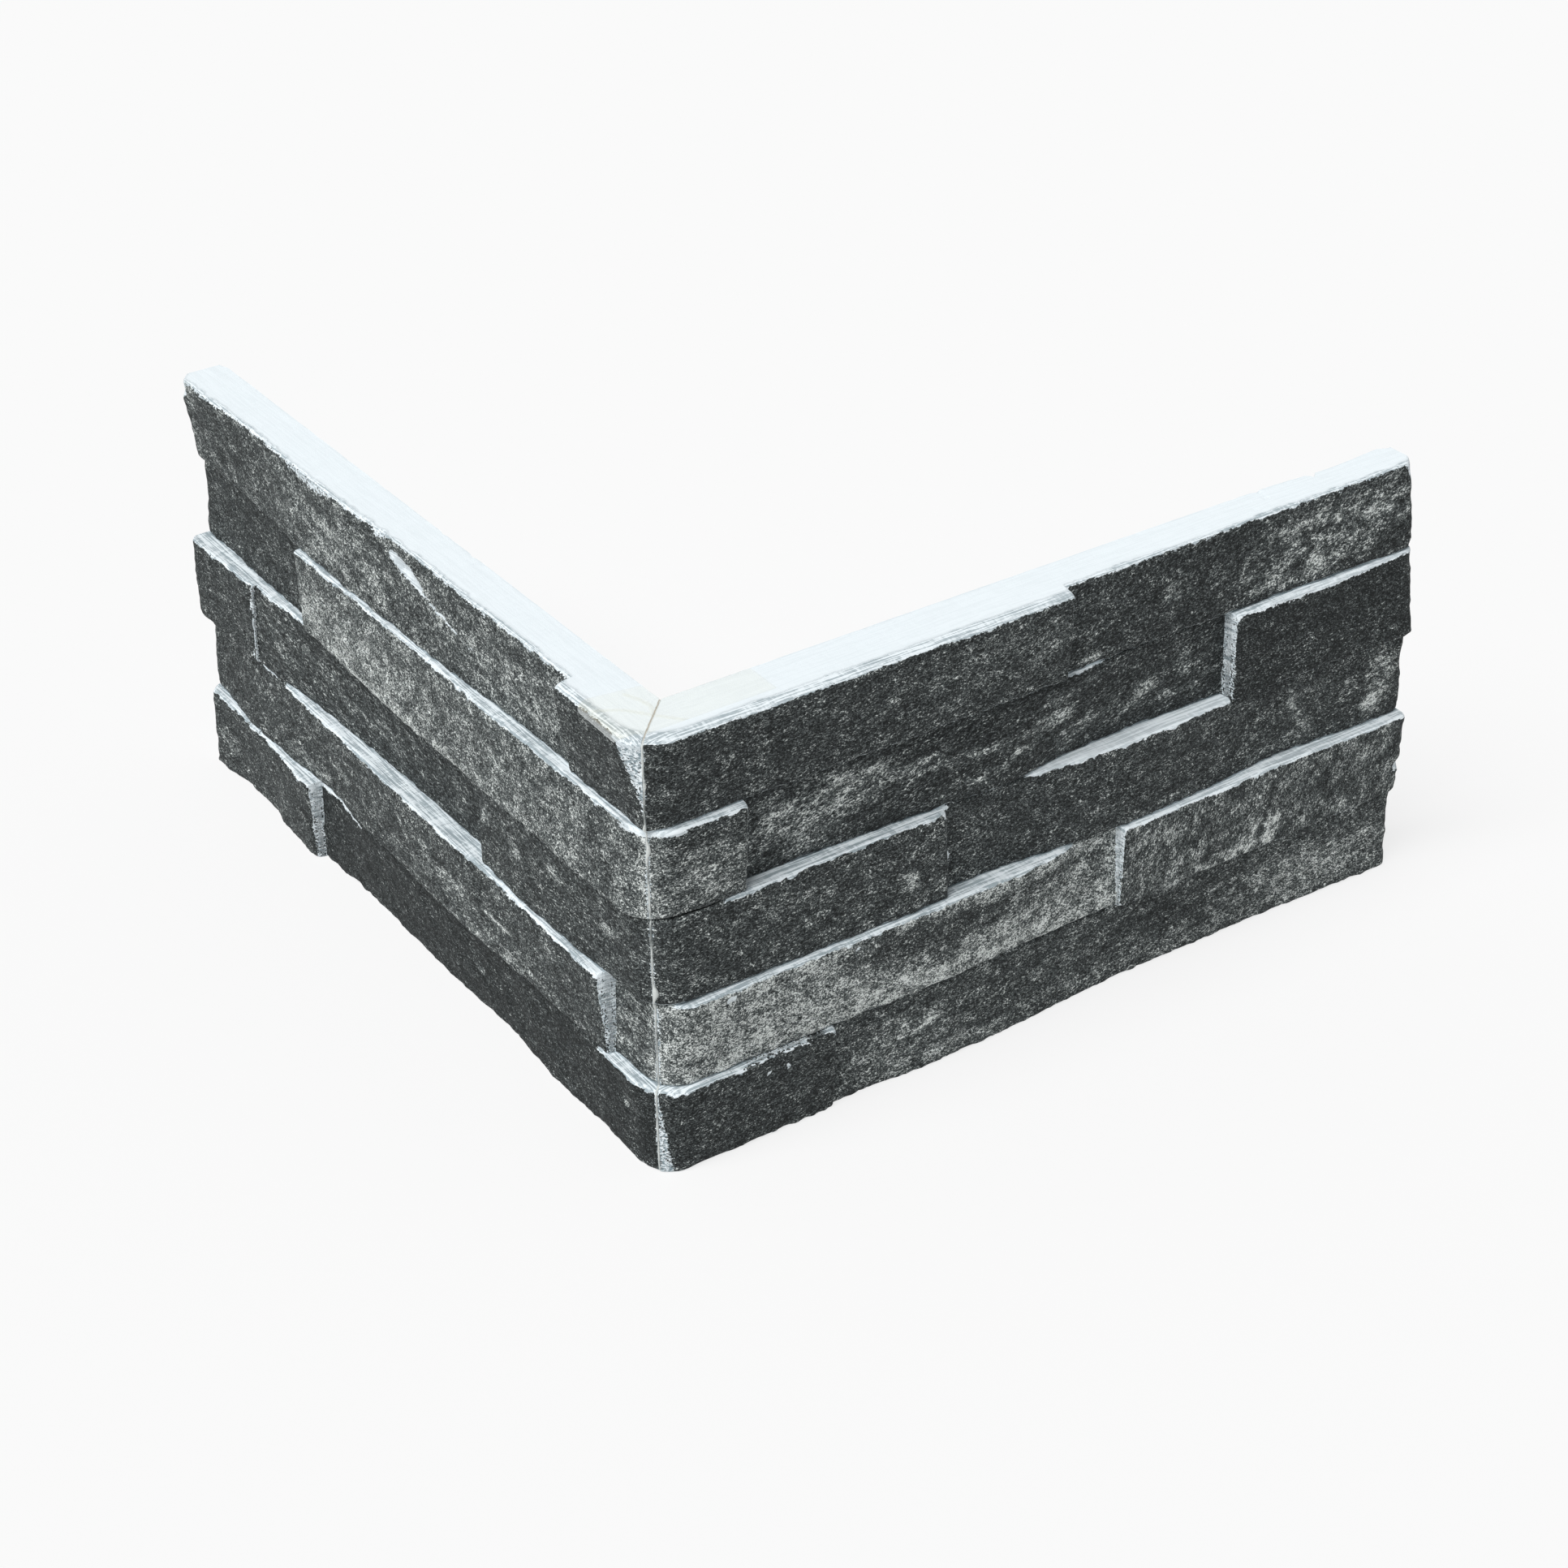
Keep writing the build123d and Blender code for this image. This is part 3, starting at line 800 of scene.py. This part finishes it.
def cured_adhesive(colours):
    """Cured construction adhesive, squeezed out of the mitre.

    It is chalky and off-white, with painted shade that greys some crumbs and most where it lies deep in the
    seam, and browner in the dusty crack on top.
    """
    material, tree = new_material("cured_adhesive")
    place = add(tree, "TexCoord").outputs["Object"]
    axes = add(tree, "SeparateXYZ", {0: place})
    sunk = add(tree, "Attribute", attribute_name="sunk").outputs["Fac"]
    # Crumbs of 1.5 mm. Painted shade greys some of them, and more where the glue lies deep in the seam.
    crumb = add(tree, "TexNoise", {"Vector": place, "Scale": 1 / (1.5 * MM), "Detail": 3.0})
    deep = add(tree, "Math", {0: sunk, 1: 0.5, 2: crumb}, operation="MULTIPLY_ADD")
    shade = add(tree, "MapRange", {"Value": deep, "From Min": 0.52, "From Max": 0.85})
    glue_with_shade = add(tree, "Mix", {0: shade, 6: colours.glue, 7: colours.glue_painted_shade}, data_type="RGBA")
    # The crack on top is about 0.3 mm wide, and it wanders as far.
    aside = add(tree, "Math", {0: axes.outputs[0], 1: axes.outputs[1]}, operation="SUBTRACT")
    drift = add(tree, "TexNoise", {"Vector": place, "Scale": 1 / (4 * MM), "Detail": 1.0})
    aside = add(tree, "Math", {0: drift, 1: 1.6 * MM, 2: aside}, operation="MULTIPLY_ADD")
    aside = add(tree, "Math", {0: aside, 1: 0.8 * MM}, operation="SUBTRACT")
    aside = add(tree, "Math", {0: aside}, operation="ABSOLUTE")
    crack = add(tree, "MapRange", {"Value": aside, "From Min": 0.34 * MM, "From Max": 0.14 * MM})
    top = add(tree, "MapRange", {"Value": axes.outputs[2], "From Min": 179.0 * MM, "From Max": 179.8 * MM})
    dust = add(tree, "Math", {0: top, 1: crack}, operation="MULTIPLY")
    colour = add(tree, "Mix", {0: dust, 6: glue_with_shade.outputs[2], 7: colours.dust}, data_type="RGBA")
    bump = add(tree, "Bump", {"Strength": 0.4, "Distance": 0.3 * MM, "Height": crumb})
    shader = add(tree, "BsdfPrincipled", {"Base Color": colour.outputs[2], "Roughness": 0.7,
                                          "Normal": bump})
    add(tree, "OutputMaterial", {"Surface": shader})
    return material


def clear_film(colours):
    """Clear packing film, slightly yellow from its glue.

    It veils what lies under it, and is milky where it is creased or hangs free over the edge. Along its torn
    rim the milky tone is a painted highlight.
    """
    material, tree = new_material("clear_packing_film")
    veil = add(tree, "Attribute", attribute_name="veil").outputs["Fac"]
    # The milky tone also paints the highlight along the torn rim.
    milky = add(tree, "MapRange", {"Value": veil, "From Min": 0.08, "From Max": 0.20})
    colour = add(tree, "Mix", {0: milky, 6: colours.tape, 7: colours.haze_and_highlight}, data_type="RGBA")
    shader = add(tree, "BsdfPrincipled", {"Base Color": colour.outputs[2], "Roughness": 0.15,
                                          "Alpha": veil, "IOR": 1.5})
    add(tree, "OutputMaterial", {"Surface": shader})
    return material


def glue_grid(sizes):
    """The glue as rings up the mitre: a thin plate from the inner arris, with a round bead in the seam.

    Each ring is (outward, sideways): two straight sides, then half an ellipse. Its half width swells by noise
    and at the blobs, and it wanders and leans towards them. Rings follow the seam of each course and the
    rounding of its stones.
    """
    outward, height = [], []
    for number in reversed(range(len(COURSES))):
        floor = sizes.row_height / MM * (len(COURSES) - 1 - number)
        head = (sizes.shoulder_reach, sizes.shoulder_drop) if number == 0 else (sizes.arris, sizes.arris)
        seam = sizes.bed / MM + COURSES[number].seam
        edge = sizes.arris / MM
        low = floor + edge * (1 - np.sin(FOOT_TURNS))
        high = floor + sizes.row_height / MM - head[1] / MM * (1 - np.sin(HEAD_TURNS))
        middle = np.linspace(low[-1], high[0], FACE_ROWS + 2)[1:-1]
        inset = np.concatenate((edge * (1 - np.cos(FOOT_TURNS)), np.zeros(FACE_ROWS),
                                head[0] / MM * (1 - np.cos(HEAD_TURNS))))
        outward.append(np.sqrt(2) * (seam - inset))
        height.append(np.concatenate((low, middle, high)))
    outward, height = np.concatenate(outward), np.concatenate(height)
    # The bead is about 0.33 mm to each side, less where it lies deep.
    sunk = bumps(height, GLUE_SUNK_AND_SHADED)
    width = 0.33 - 0.10 * sunk + 0.11 * noise(height, 1, 5, 31) + 0.07 * noise(height, 2, 1.7, 32)
    blob = bumps(height, [(middle, half, rise) for middle, half, rise, _ in GLUE_BLOBS])
    lean = 0.5 * bumps(height, [(middle, half, rise * side) for middle, half, rise, side in GLUE_BLOBS])
    lean += 0.14 * noise(height, 3, 6, 33) + 0.06 * noise(height, 4, 2, 34)
    turn = np.linspace(-np.pi / 2, np.pi / 2, 9)[None, :]
    plate = np.full((len(height), 1), sizes.glue / MM / 2 * 0.9)
    bead = (width + 0.5 * blob)[:, None]
    out = outward[:, None] - 0.55
    inner = np.full_like(plate, 0.3)
    swell = (0.45 + 0.45 * blob)[:, None] * np.cos(turn)
    radial = np.concatenate((inner, out - 0.6, out + swell, out - 0.6, inner), axis=1)
    sideways = np.concatenate((-plate, -plate, bead * np.sin(turn) + lean[:, None], plate, plate), axis=1)
    x = (-radial + sideways) / np.sqrt(2)
    y = (-radial - sideways) / np.sqrt(2)
    points = np.stack((x, y, np.broadcast_to(height[:, None], x.shape)), -1) * MM
    return points.transpose(1, 0, 2), {"sunk": np.broadcast_to(sunk, x.T.shape)}


def top_face(sizes, along):
    """Depth of a top corner stone's face at its head: it rises from the seam along the nose to the wave."""
    seam = sizes.bed / MM + COURSES[0].seam
    face = sizes.bed / MM + COURSES[0].left[0].upper[0][1]
    t = np.clip((along + seam) / (sizes.nose_run / MM), 0, 1)
    return seam + (face - seam) * (1 - (1 - t) ** NOSE_POWER)


def crease(x, y, line):
    """How near each place is to a creased line, from 1 on it to nothing one millimetre away."""
    nearest = np.full(x.shape, 9.0)
    for (ax, ay), (bx, by) in zip(line, line[1:]):
        length = np.hypot(bx - ax, by - ay)
        t = np.clip(((x - ax) * (bx - ax) + (y - ay) * (by - ay)) / length ** 2, 0, 1)
        nearest = np.minimum(nearest, np.hypot(x - ax - t * (bx - ax), y - ay - t * (by - ay)))
    return smooth(1 - nearest / 1.1)


def path_points(corners, count):
    """Points spaced evenly along straight lines between corners."""
    corners = np.array(corners, float)
    steps = np.concatenate(([0], np.cumsum(np.hypot(*np.diff(corners, axis=0).T))))
    places = np.linspace(0, steps[-1], count)
    return np.stack([np.interp(places, steps, corners[:, axis]) for axis in (0, 1)], -1)


def tape_grid(sizes):
    """The film as rows across the strip: from its square end over the mitre and the left shoulder, then down.

    On top each row is straight from the front edge to the back edge. Over the shoulder it follows the quarter
    ellipse of the stone's head, then drops to a straight edge. It lies a little above the stone, lifted at
    its creases.
    """
    total = sizes.row_height / MM * len(COURSES)
    reach, drop = sizes.shoulder_reach / MM, sizes.shoulder_drop / MM
    front, back = (
        np.concatenate((path_points(line[:2], TAPE_ROWS),
                        path_points((*line[1:], (reach - top_face(sizes, end), end)), FOLD_ROWS)[1:]))
        for line, end in ((TAPE_FRONT, -TAPE_SHOULDER), (TAPE_BACK, TAPE_SHOULDER))
    )
    share = np.linspace(0, 1, TAPE_COLUMNS)[None, :]
    x = front[:, :1] * (1 - share) + back[:, :1] * share
    y = front[:, 1:] * (1 - share) + back[:, 1:] * share
    x[-1] = reach - top_face(sizes, y[-1])
    level = np.full(x.shape, total)
    turns = np.radians(np.linspace(90, 0, 9)[1:])[:, None]
    down = np.linspace(0, 1, 5)[1:, None]
    ends = np.linspace(0, 1, len(turns) + len(down) + 1)[1:, None]
    ahead = y[-1] + (np.linspace(*TAPE_FOLD, TAPE_COLUMNS) - y[-1]) * smooth(ends)
    torn = 0.3 + 0.8 * (1 - share[0])
    fold_x = np.concatenate((reach * (1 - np.cos(turns)) - top_face(sizes, ahead[:len(turns)]),
                             -top_face(sizes, ahead[len(turns):]) - 0.05))
    fold_z = np.concatenate((total - drop * (1 - np.sin(turns)) + 0 * ahead[:len(turns)],
                             total - drop - down * torn))
    x, y, level = (np.concatenate(pair) for pair in ((x, fold_x), (y, ahead), (level, fold_z)))
    creased = sum(crease(x, y, line) for line in TAPE_CREASES)
    lift = 0.10 + 0.05 * noise(x, y, 6, 78) + 0.16 * creased
    tilt = smooth((total - level) / drop)
    # The film is clearest on top and milkier at its creases and over the edge. Along its torn rim it is made
    # milkiest as a painted highlight.
    veil = 0.04 + 0.10 * creased + 0.22 * tilt
    veil[-2:] += 0.22
    return np.stack((x - lift * tilt, y, level + lift * (1 - tilt)), -1) * MM, {"veil": veil}


def placed(axes, place=(0, 0, 0)):
    """The matrix of an object with those x, y and z axes at that place."""
    matrix = np.eye(4)
    matrix[:3, :3] = np.transpose(axes)
    matrix[:3, 3] = place
    return Matrix(matrix.tolist())


def photo_camera(scene):
    """The photograph's camera, turned round the corner, tilted down and rolled."""
    camera = bpy.data.cameras.new("photo_camera")
    camera.sensor_width = SENSOR
    camera.lens = LENS
    camera.clip_end = 20.0
    view = bpy.data.objects.new("photo_camera", camera)
    turn, tilt, roll = np.radians(VIEW_TURNS)
    back = np.array((np.sin(turn) * np.cos(tilt), -np.cos(turn) * np.cos(tilt), np.sin(tilt)))
    level = np.array((np.cos(turn), np.sin(turn), 0.0))
    upright = np.cross(back, level)
    right = np.cos(roll) * level + np.sin(roll) * upright
    up = np.cos(roll) * upright - np.sin(roll) * level
    view.matrix_world = placed((right, up, back), VIEW_PLACE)
    scene.collection.objects.link(view)
    scene.camera = view


def key_lamp(scene, strength):
    """A broad soft light from the upper left."""
    lamp = bpy.data.lights.new("key_lamp", "SUN")
    lamp.energy = strength
    lamp.angle = radians(KEY_SPREAD)
    key = bpy.data.objects.new("key_lamp", lamp)
    towards = np.array(KEY_DIRECTION) / np.linalg.norm(KEY_DIRECTION)
    side = np.cross((0.0, 0.0, 1.0), towards)
    side = side / np.linalg.norm(side)
    key.matrix_world = placed((side, np.cross(towards, side), towards))
    scene.collection.objects.link(key)


def seen_rays(tree):
    """1 on rays from the camera, off gloss and through the film, and 0 on the rays that carry light."""
    path = add(tree, "LightPath")
    seen = path.outputs["Is Camera Ray"]
    for kind in ("Is Glossy Ray", "Is Transmission Ray"):
        seen = add(tree, "Math", {0: seen, 1: path.outputs[kind]}, operation="MAXIMUM")
    return seen


def studio_world(scene, sky_strength):
    """Even light from all sides, with a background that is nearly white to the eye."""
    world = bpy.data.worlds.new("studio")
    world.use_nodes = True
    tree = world.node_tree
    tree.nodes.clear()
    strength = add(tree, "MapRange", {"Value": seen_rays(tree), "To Min": sky_strength, "To Max": BACKGROUND})
    sky = add(tree, "Background", {"Color": (1, 1, 1, 1), "Strength": strength})
    add(tree, "OutputWorld", {"Surface": sky})
    scene.world = world


def studio_floor(scene, floor_colour):
    """A matt floor that keeps the shadow: what the eye sees of it is drawn towards white."""
    material, tree = new_material("matt_studio_floor")
    share = add(tree, "Math", {0: seen_rays(tree), 1: FLOOR_WHITE}, operation="MULTIPLY")
    matt = add(tree, "BsdfDiffuse", {"Color": floor_colour})
    glow = add(tree, "Emission", {"Color": (1, 1, 1, 1), "Strength": 1.0})
    mixed = add(tree, "MixShader", {0: share, 1: matt, 2: glow})
    add(tree, "OutputMaterial", {"Surface": mixed})
    mesh = bpy.data.meshes.new("studio_floor")
    corners = [(x * FLOOR_HALF, y * FLOOR_HALF, 0) for x, y in ((-1, -1), (1, -1), (1, 1), (-1, 1))]
    mesh.from_pydata(corners, [], [(0, 1, 2, 3)])
    mesh.materials.append(material)
    floor = bpy.data.objects.new("studio_floor", mesh)
    scene.collection.objects.link(floor)
    return floor


def size_setting(name, description, default, least):
    """A length that a user can change, in metres."""
    return bpy.props.FloatProperty(name=name, description=description, default=default, min=least,
                                   unit="LENGTH")


def colour_setting(name, description, code):
    """A colour that a user can change, given as an sRGB hex value."""
    return bpy.props.FloatVectorProperty(name=name, description=description, default=linear(code), size=4,
                                         subtype="COLOR", min=0, max=1)


class CornerSizes(bpy.types.PropertyGroup):
    """Sizes of the panels, the glue and the tape."""

    right_leg: size_setting("Right leg", "Inside length of the right panel", 0.330, 0.06)
    left_leg: size_setting("Left leg", "Inside length of the left panel", 0.330, 0.06)
    row_height: size_setting("Row height", "Height of one course of stones", 0.036, 0.01)
    bed: size_setting("Bed", "Thickness of the flat bed behind the stones", 0.014, 0.005)
    arris: size_setting("Arris", "Rounding of the edges of a stone's face", 0.0018, 0.0002)
    shoulder_reach: size_setting("Shoulder reach", "Depth of the top corner stones' shoulder", 0.0045, 0.0005)
    shoulder_drop: size_setting("Shoulder drop", "Height of the top corner stones' shoulder", 0.0022, 0.0005)
    nose_run: size_setting("Nose run", "Length of the curve from the seam to the face", 0.011, 0.002)
    glue: size_setting("Glue", "Thickness of the glue in the mitre", 0.0008, 0.0002)
    film: size_setting("Film", "Thickness of the clear tape", 0.00006, 0.00001)
    relief: bpy.props.FloatProperty(name="Relief", description="Strength of the split-face relief",
                                    default=1.0, min=0.0, max=3.0, subtype="FACTOR")


class CornerColours(bpy.types.PropertyGroup):
    """Colours of the print, the body, the glue and the tape."""

    pore: colour_setting("Pores", "Darkest dots of the printed stone", "#1B1E1E")
    ink_dark: colour_setting("Dark print", "Dark ground of the printed stone", "#2C2F2F")
    ink_mid: colour_setting("Mid print", "Lighter clouds of the printed stone", "#494E4F")
    grey: colour_setting("Grey print", "Grey tone between the dark print and its grains", "#6D7372")
    grain: colour_setting("Grains", "Grey grains of the printed stone", "#A6ACAA")
    crystal: colour_setting("Crystals", "Pale crystals of the printed stone", "#E4E9E7")
    body: colour_setting("Body", "Pale cast body where there is no print", "#EDF5F9")
    mark: colour_setting("Mould marks", "Darker lines that the mould leaves on the body", "#83939A")
    glue: colour_setting("Glue", "Cured adhesive in the mitre", "#D3D8D6")
    # Painted shade: the glue is darkened towards this colour in crumbs, and most where it lies deep in the
    # seam.
    glue_painted_shade: colour_setting("Deep glue", "Cured adhesive deep in the seam", "#7B8180")
    dust: colour_setting("Dust", "Dust in the mitre line on top", "#A39A8E")
    tape: colour_setting("Tape", "Clear film over the mitre", "#FCF3D2")
    # This colour also gives the painted highlight along the torn rim of the film.
    haze_and_highlight: colour_setting("Tape haze", "Milky tone of the film where it is creased or hangs free", "#E6ECEC")


class StageSettings(bpy.types.PropertyGroup):
    """Light and floor round the corner."""

    floor: colour_setting("Floor", "Colour of the floor", "#E6E6E6")
    sky: bpy.props.FloatProperty(name="Sky", description="Strength of the even light from all sides",
                                 default=0.30, min=0.0, max=2.0)
    key: bpy.props.FloatProperty(name="Key lamp", description="Strength of the lamp from the upper left",
                                 default=2.72, min=0.0, max=10.0)


class FACADE_OT_panels(bpy.types.Operator):
    """Build both panels with their stacked stones, split-face relief and print"""

    bl_idname = "facade.panels"
    bl_label = "Facade panels"

    def execute(self, context):
        material = printed_concrete(context.scene.corner_colours)
        for side, seed in (("right", 11), ("left", 57)):
            grid = PanelGrid(side, context.scene.corner_sizes, seed)
            rows, count = grid.s.shape
            faces = ring_faces(rows, count, side == "left")
            make_piece(side + "_panel_stones", grid.points(), faces, grid.fields, material,
                       side + "_panel", {"ink": 0.0, "streak": 0.3})
        return {"FINISHED"}


class FACADE_OT_adhesive(bpy.types.Operator):
    """Build the glue in the mitre, with the bead that was squeezed out of it"""

    bl_idname = "facade.adhesive"
    bl_label = "Mitre adhesive"

    def execute(self, context):
        points, fields = glue_grid(context.scene.corner_sizes)
        rows, count = points.shape[:2]
        faces = ring_faces(rows, count, False)
        make_piece("mitre_adhesive_bead", points, faces, fields, cured_adhesive(context.scene.corner_colours),
                   "mitre_adhesive")
        return {"FINISHED"}


class FACADE_OT_tape(bpy.types.Operator):
    """Lay the strip of clear tape over the mitre, with its fold and creases"""

    bl_idname = "facade.tape"
    bl_label = "Corner tape"

    def execute(self, context):
        points, fields = tape_grid(context.scene.corner_sizes)
        rows, count = points.shape[:2]
        faces = quads(np.arange(rows - 1), np.arange(1, rows), count).tolist()
        material = clear_film(context.scene.corner_colours)
        piece = make_piece("corner_tape_film", points, faces, fields, material, "corner_tape")
        film = piece.modifiers.new("film_thickness", "SOLIDIFY")
        film.thickness = context.scene.corner_sizes.film
        film.offset = 1.0
        return {"FINISHED"}


class FACADE_OT_stage(bpy.types.Operator):
    """Set the camera, the soft light and the pale floor"""

    bl_idname = "facade.stage"
    bl_label = "Stage"

    def execute(self, context):
        scene = context.scene
        stage = scene.corner_stage
        scene.view_settings.view_transform = "Standard"
        photo_camera(scene)
        key_lamp(scene, stage.key)
        studio_world(scene, stage.sky)
        floor = studio_floor(scene, stage.floor)
        return {"FINISHED"}


class FACADE_PT_corner(bpy.types.Panel):
    """Lists the pieces of the facade corner and their sizes"""

    bl_label = "Facade corner"
    bl_space_type = "VIEW_3D"
    bl_region_type = "UI"
    bl_category = "Facade corner"

    def draw(self, context):
        layout = self.layout
        for group in ("corner_sizes", "corner_colours", "corner_stage"):
            settings = getattr(context.scene, group)
            for name in settings.__annotations__:
                layout.prop(settings, name)
        for operator in OPERATORS:
            layout.operator(operator.bl_idname)


OPERATORS = (FACADE_OT_panels, FACADE_OT_adhesive, FACADE_OT_tape, FACADE_OT_stage)
CLASSES = (CornerSizes, CornerColours, StageSettings, *OPERATORS, FACADE_PT_corner)


def register():
    for kind in CLASSES:
        bpy.utils.register_class(kind)
    bpy.types.Scene.corner_sizes = bpy.props.PointerProperty(type=CornerSizes)
    bpy.types.Scene.corner_colours = bpy.props.PointerProperty(type=CornerColours)
    bpy.types.Scene.corner_stage = bpy.props.PointerProperty(type=StageSettings)


def unregister():
    del bpy.types.Scene.corner_stage
    del bpy.types.Scene.corner_colours
    del bpy.types.Scene.corner_sizes
    for kind in reversed(CLASSES):
        bpy.utils.unregister_class(kind)


def main():
    """Builds every piece in order."""
    register()
    bpy.ops.facade.panels()
    bpy.ops.facade.adhesive()
    bpy.ops.facade.tape()
    bpy.ops.facade.stage()


if __name__ == "__main__":
    main()
